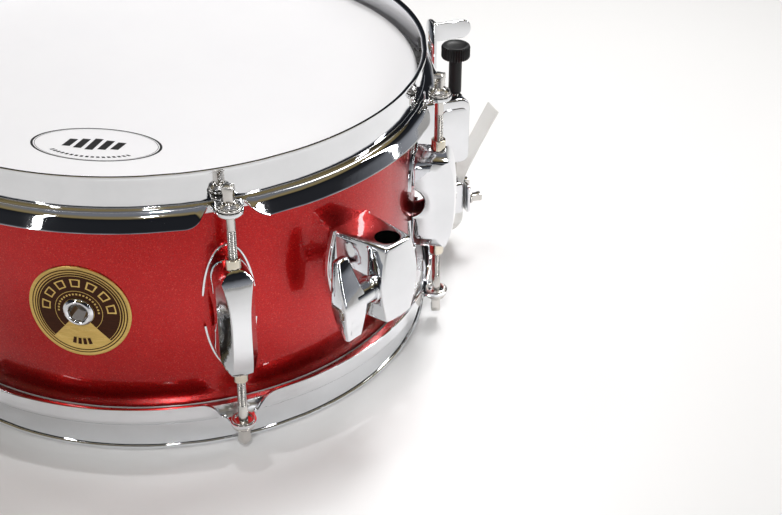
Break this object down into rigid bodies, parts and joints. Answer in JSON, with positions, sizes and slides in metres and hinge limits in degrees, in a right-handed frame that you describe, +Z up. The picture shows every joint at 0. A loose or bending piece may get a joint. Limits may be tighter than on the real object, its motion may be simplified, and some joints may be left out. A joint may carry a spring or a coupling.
{
  "type": "snare drum",
  "caption": "Snare drum with a glossy red sparkle shell, chrome hoops and lugs, white batter head, throw-off strainer, snare wires and a side receiver with a wing bolt.",
  "frame": {"origin": "on the drum's axis, in the plane of the lower rim that it stands on", "axes": "+Z up along the drum's axis, +X towards the strainer, +Y to its left seen from the drum's axis"},
  "size_m": [0.3955, 0.3553, 0.168],
  "materials": {
    "red_wrap": "wood shell in a glossy red sparkle plastic wrap",
    "chrome": "mirror chrome plate",
    "steel": "plated steel",
    "head_film": "smooth white coated film",
    "clear_film": "hazy clear film",
    "badge_gold": "gold coloured metal with a dark brown print",
    "black_plastic": "satin black plastic",
    "strap_plastic": "milky translucent plastic"
  },
  "bodies": {
    "drum": {"shell": "red_wrap", "batter_head": "head_film", "snare_side_head": "clear_film", "badge": "badge_gold", "butt_strap": "strap_plastic", "batter_hoop": "chrome", "snare_side_hoop": "chrome", "vent_grommet": "chrome", "rod_receiver": "chrome", "strainer_base": "chrome", "butt_base": "chrome", "butt_clamp": "chrome", "lug_1": "chrome", "lug_2": "chrome", "lug_3": "chrome", "lug_4": "chrome", "lug_5": "chrome", "lug_6": "chrome", "batter_head_flesh_hoop": "steel", "snare_side_head_flesh_hoop": "steel", "lever_pin": "steel", "butt_clamp_screw_1": "steel", "butt_clamp_screw_2": "steel", "batter_nut_1": "steel", "batter_nut_2": "steel", "batter_nut_3": "steel", "batter_nut_4": "steel", "batter_nut_5": "steel", "batter_nut_6": "steel", "snare_side_nut_1": "steel", "snare_side_nut_2": "steel", "snare_side_nut_3": "steel", "snare_side_nut_4": "steel", "snare_side_nut_5": "steel", "snare_side_nut_6": "steel"},
    "lever": {"throw_lever": "chrome"},
    "lifter": {"lift_collar": "steel"},
    "knob_screw": {"adjust_knob": "black_plastic", "adjust_screw": "steel"},
    "carriage": {"strap_carriage": "chrome", "strainer_clamp": "chrome", "strainer_clamp_screw_1": "steel", "strainer_clamp_screw_2": "steel"},
    "wires": {"snare_wires": "steel", "strainer_strap": "strap_plastic"},
    "wing": {"wing_bolt": "chrome"},
    "batter_rod_1": {"batter_rod_1": "steel"},
    "batter_rod_2": {"batter_rod_2": "steel"},
    "batter_rod_3": {"batter_rod_3": "steel"},
    "batter_rod_4": {"batter_rod_4": "steel"},
    "batter_rod_5": {"batter_rod_5": "steel"},
    "batter_rod_6": {"batter_rod_6": "steel"},
    "snare_side_rod_1": {"snare_side_rod_1": "steel"},
    "snare_side_rod_2": {"snare_side_rod_2": "steel"},
    "snare_side_rod_3": {"snare_side_rod_3": "steel"},
    "snare_side_rod_4": {"snare_side_rod_4": "steel"},
    "snare_side_rod_5": {"snare_side_rod_5": "steel"},
    "snare_side_rod_6": {"snare_side_rod_6": "steel"}
  },
  "joints": [
    {"name": "lever_throw", "type": "hinge", "parent": "drum", "child": "lever", "pos_m": [0.1724, 0, 0.092], "axis": [1, 0, 0], "range_deg": [-90, 0]},
    {"name": "lifter_drop", "type": "slide", "parent": "drum", "child": "lifter", "axis": [0, 0, 1], "range_m": [-0.006, 0]},
    {"name": "wires_drop", "type": "hinge", "parent": "drum", "child": "wires", "pos_m": [-0.12, 0, 0.0112], "axis": [0, 1, 0], "range_deg": [0, 1.12]},
    {"name": "knob_turn", "type": "hinge", "parent": "lifter", "child": "knob_screw", "pos_m": [0.1888, 0, 0.12], "axis": [0, 0, 1], "range_deg": [-1080, 540]},
    {"name": "carriage_travel", "type": "slide", "parent": "lifter", "child": "carriage", "axis": [0, 0, 1], "range_m": [-0.0024, 0.0012]},
    {"name": "wing_bolt_turn", "type": "hinge", "parent": "drum", "child": "wing", "pos_m": [0.0863, -0.15568, 0.084], "axis": [0.8746, 0.4848, 0], "range_deg": [-450, 0]},
    {"name": "batter_rod_1_turn", "type": "hinge", "parent": "drum", "child": "batter_rod_1", "pos_m": [0, -0.1665, 0.15], "axis": [0, 0, 1], "range_deg": [-360, 360]},
    {"name": "batter_rod_2_turn", "type": "hinge", "parent": "drum", "child": "batter_rod_2", "pos_m": [0.14419, -0.08325, 0.15], "axis": [0, 0, 1], "range_deg": [-360, 360]},
    {"name": "batter_rod_3_turn", "type": "hinge", "parent": "drum", "child": "batter_rod_3", "pos_m": [0.14419, 0.08325, 0.15], "axis": [0, 0, 1], "range_deg": [-360, 360]},
    {"name": "batter_rod_4_turn", "type": "hinge", "parent": "drum", "child": "batter_rod_4", "pos_m": [0, 0.1665, 0.15], "axis": [0, 0, 1], "range_deg": [-360, 360]},
    {"name": "batter_rod_5_turn", "type": "hinge", "parent": "drum", "child": "batter_rod_5", "pos_m": [-0.14419, 0.08325, 0.15], "axis": [0, 0, 1], "range_deg": [-360, 360]},
    {"name": "batter_rod_6_turn", "type": "hinge", "parent": "drum", "child": "batter_rod_6", "pos_m": [-0.14419, -0.08325, 0.15], "axis": [0, 0, 1], "range_deg": [-360, 360]},
    {"name": "snare_side_rod_1_turn", "type": "hinge", "parent": "drum", "child": "snare_side_rod_1", "pos_m": [0, -0.1665, 0.018], "axis": [0, 0, 1], "range_deg": [-360, 360]},
    {"name": "snare_side_rod_2_turn", "type": "hinge", "parent": "drum", "child": "snare_side_rod_2", "pos_m": [0.14419, -0.08325, 0.018], "axis": [0, 0, 1], "range_deg": [-360, 360]},
    {"name": "snare_side_rod_3_turn", "type": "hinge", "parent": "drum", "child": "snare_side_rod_3", "pos_m": [0.14419, 0.08325, 0.018], "axis": [0, 0, 1], "range_deg": [-360, 360]},
    {"name": "snare_side_rod_4_turn", "type": "hinge", "parent": "drum", "child": "snare_side_rod_4", "pos_m": [0, 0.1665, 0.018], "axis": [0, 0, 1], "range_deg": [-360, 360]},
    {"name": "snare_side_rod_5_turn", "type": "hinge", "parent": "drum", "child": "snare_side_rod_5", "pos_m": [-0.14419, 0.08325, 0.018], "axis": [0, 0, 1], "range_deg": [-360, 360]},
    {"name": "snare_side_rod_6_turn", "type": "hinge", "parent": "drum", "child": "snare_side_rod_6", "pos_m": [-0.14419, -0.08325, 0.018], "axis": [0, 0, 1], "range_deg": [-360, 360]}
  ],
  "couplings": [
    {"joint": "lever_throw", "follows": "lifter_drop", "rad_per_m": 261.79},
    {"joint": "wires_drop", "follows": "lifter_drop", "rad_per_m": -3.19},
    {"joint": "knob_turn", "follows": "carriage_travel", "rad_per_m": 7853.9}
  ]
}
